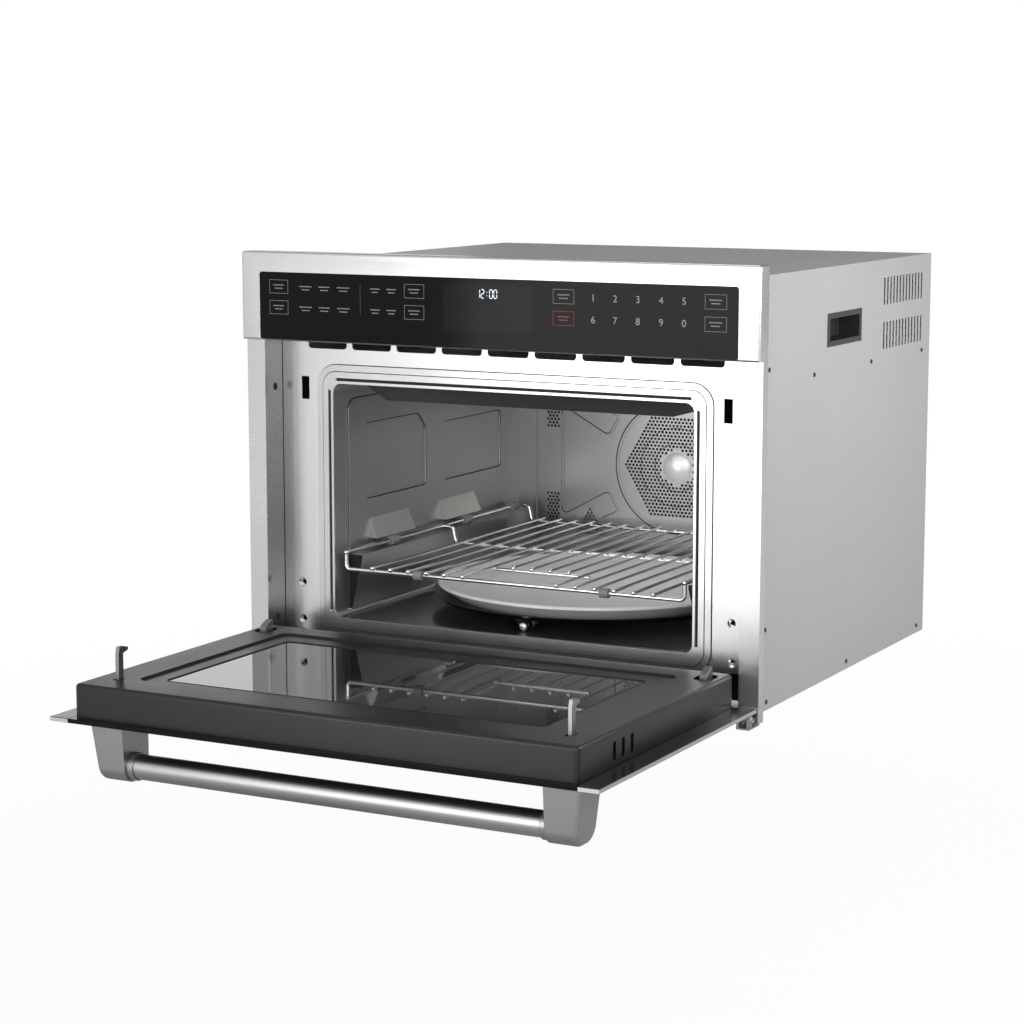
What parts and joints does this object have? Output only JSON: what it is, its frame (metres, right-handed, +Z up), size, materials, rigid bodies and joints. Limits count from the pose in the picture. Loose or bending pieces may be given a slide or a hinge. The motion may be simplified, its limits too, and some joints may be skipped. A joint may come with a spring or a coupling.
{
  "type": "built-in microwave oven",
  "caption": "Built-in combination microwave oven with a drop-down door, tube handle, black touch panel, wire rack, turntable and convection fan.",
  "frame": {"origin": "middle of the underside of the base, half way along the casing behind the cabinet front", "axes": "+Z up, +Y towards the back of the oven, +X to the right as seen by a user in front of it"},
  "size_m": [0.595, 0.9032, 0.5015],
  "materials": {
    "brushed_stainless": "brushed",
    "polished_steel": "polished",
    "cavity_steel": "satin",
    "casing_sheet": "satin",
    "black_glass": "gloss",
    "tinted_glass": "gloss",
    "charcoal": "satin",
    "black_plastic": "matt",
    "dark_enamel": "gloss",
    "tray_ceramic": "satin",
    "grey_bush": "matt",
    "hinge_steel": "satin",
    "latch_alloy": "satin",
    "standoff_alloy": "satin",
    "display": "gloss",
    "circuit_board": "matt",
    "plated_sheet": "satin",
    "motor_steel": "satin",
    "fan_alloy": "satin",
    "heater_tube": "satin"
  },
  "bodies": {
    "chassis": {"air_duct": "plated_sheet", "base_pan": "casing_sheet", "blower_housing": "black_plastic", "blower_motor": "motor_steel", "carry_handle_left": "black_plastic", "carry_handle_right": "black_plastic", "casing_screws": "hinge_steel", "cavity_lamp": "fan_alloy", "cavity_liner": "cavity_steel", "cavity_rear_wall": "cavity_steel", "control_board": "circuit_board", "control_glass": "black_glass", "control_panel_trim": "brushed_stainless", "convection_heater": "heater_tube", "convection_housing": "plated_sheet", "convection_motor": "motor_steel", "cord_gland": "black_plastic", "display_module": "display", "fan_cap": "polished_steel", "front_frame": "brushed_stainless", "front_plate": "brushed_stainless", "grill_heater": "heater_tube", "heater_cover": "dark_enamel", "hinge_bracket_left": "hinge_steel", "hinge_bracket_right": "hinge_steel", "hinge_pins": "hinge_steel", "hv_capacitor": "plated_sheet", "hv_transformer": "motor_steel", "interlock_housings": "black_plastic", "magnetron": "motor_steel", "noise_filter": "circuit_board", "outer_casing": "casing_sheet", "rear_panel": "casing_sheet", "thermal_cutout": "fan_alloy", "turntable_motor": "motor_steel", "waveguide": "fan_alloy"},
    "door": {"door_outer_glass": "black_glass", "door_side_bars": "brushed_stainless", "door_inner_frame": "charcoal", "door_window_band": "charcoal", "door_inner_glass": "tinted_glass", "door_screen": "dark_enamel", "hinge_leaves": "hinge_steel", "hinge_claws": "hinge_steel", "handle_standoff_left": "standoff_alloy", "handle_standoff_right": "standoff_alloy", "handle_bar": "brushed_stainless", "handle_collars": "polished_steel"},
    "latch_left": {"latch_hook_left": "latch_alloy"},
    "latch_right": {"latch_hook_right": "latch_alloy"},
    "rack": {"wire_rack": "polished_steel", "rack_bushings": "grey_bush"},
    "turntable": {"drive_hub": "grey_bush", "turntable_pan": "dark_enamel", "turntable_tray": "tray_ceramic"},
    "roller_1": {"roller_ball_1": "polished_steel"},
    "roller_2": {"roller_ball_2": "polished_steel"},
    "roller_3": {"roller_ball_3": "polished_steel"},
    "convection_rotor": {"convection_fan": "fan_alloy"},
    "blower_rotor": {"blower_wheel": "fan_alloy"}
  },
  "joints": [
    {"name": "door_hinge", "type": "hinge", "parent": "chassis", "child": "door", "pos_m": [0, -0.2898, 0.0092], "axis": [-1, 0, 0], "range_deg": [0, 90]},
    {"name": "rack_slide", "type": "slide", "parent": "chassis", "child": "rack", "axis": [0, 1, 0], "range_m": [-0.27, 0]},
    {"name": "turntable_spin", "type": "hinge", "parent": "chassis", "child": "turntable", "pos_m": [0, -0.0326, 0.06], "axis": [0, 0, 1], "continuous": true},
    {"name": "convection_spin", "type": "hinge", "parent": "chassis", "child": "convection_rotor", "pos_m": [0, 0.2004, 0.184], "axis": [0, 1, 0], "continuous": true},
    {"name": "blower_spin", "type": "hinge", "parent": "chassis", "child": "blower_rotor", "pos_m": [-0.025, 0.1274, 0.3668], "axis": [1, 0, 0], "continuous": true},
    {"name": "latch_left_pivot", "type": "hinge", "parent": "door", "child": "latch_left", "pos_m": [-0.2467, -0.5866, 0.03], "axis": [-1, 0, 0], "range_deg": [-5, 0], "stiffness_Nm_per_rad": 0.3},
    {"name": "latch_right_pivot", "type": "hinge", "parent": "door", "child": "latch_right", "pos_m": [0.2467, -0.5866, 0.03], "axis": [-1, 0, 0], "range_deg": [-5, 0], "stiffness_Nm_per_rad": 0.3},
    {"name": "roller_1_spin", "type": "hinge", "parent": "turntable", "child": "roller_1", "pos_m": [0, -0.2086, 0.0609], "axis": [0, -1, 0], "continuous": true},
    {"name": "roller_2_spin", "type": "hinge", "parent": "turntable", "child": "roller_2", "pos_m": [0.15242, 0.0554, 0.0609], "axis": [0.866, 0.5, 0], "continuous": true},
    {"name": "roller_3_spin", "type": "hinge", "parent": "turntable", "child": "roller_3", "pos_m": [-0.15242, 0.0554, 0.0609], "axis": [-0.866, 0.5, 0], "continuous": true}
  ],
  "couplings": [
    {"joint": "roller_1_spin", "follows": "turntable_spin", "ratio": -31.429},
    {"joint": "roller_2_spin", "follows": "turntable_spin", "ratio": -31.429},
    {"joint": "roller_3_spin", "follows": "turntable_spin", "ratio": -31.429}
  ]
}
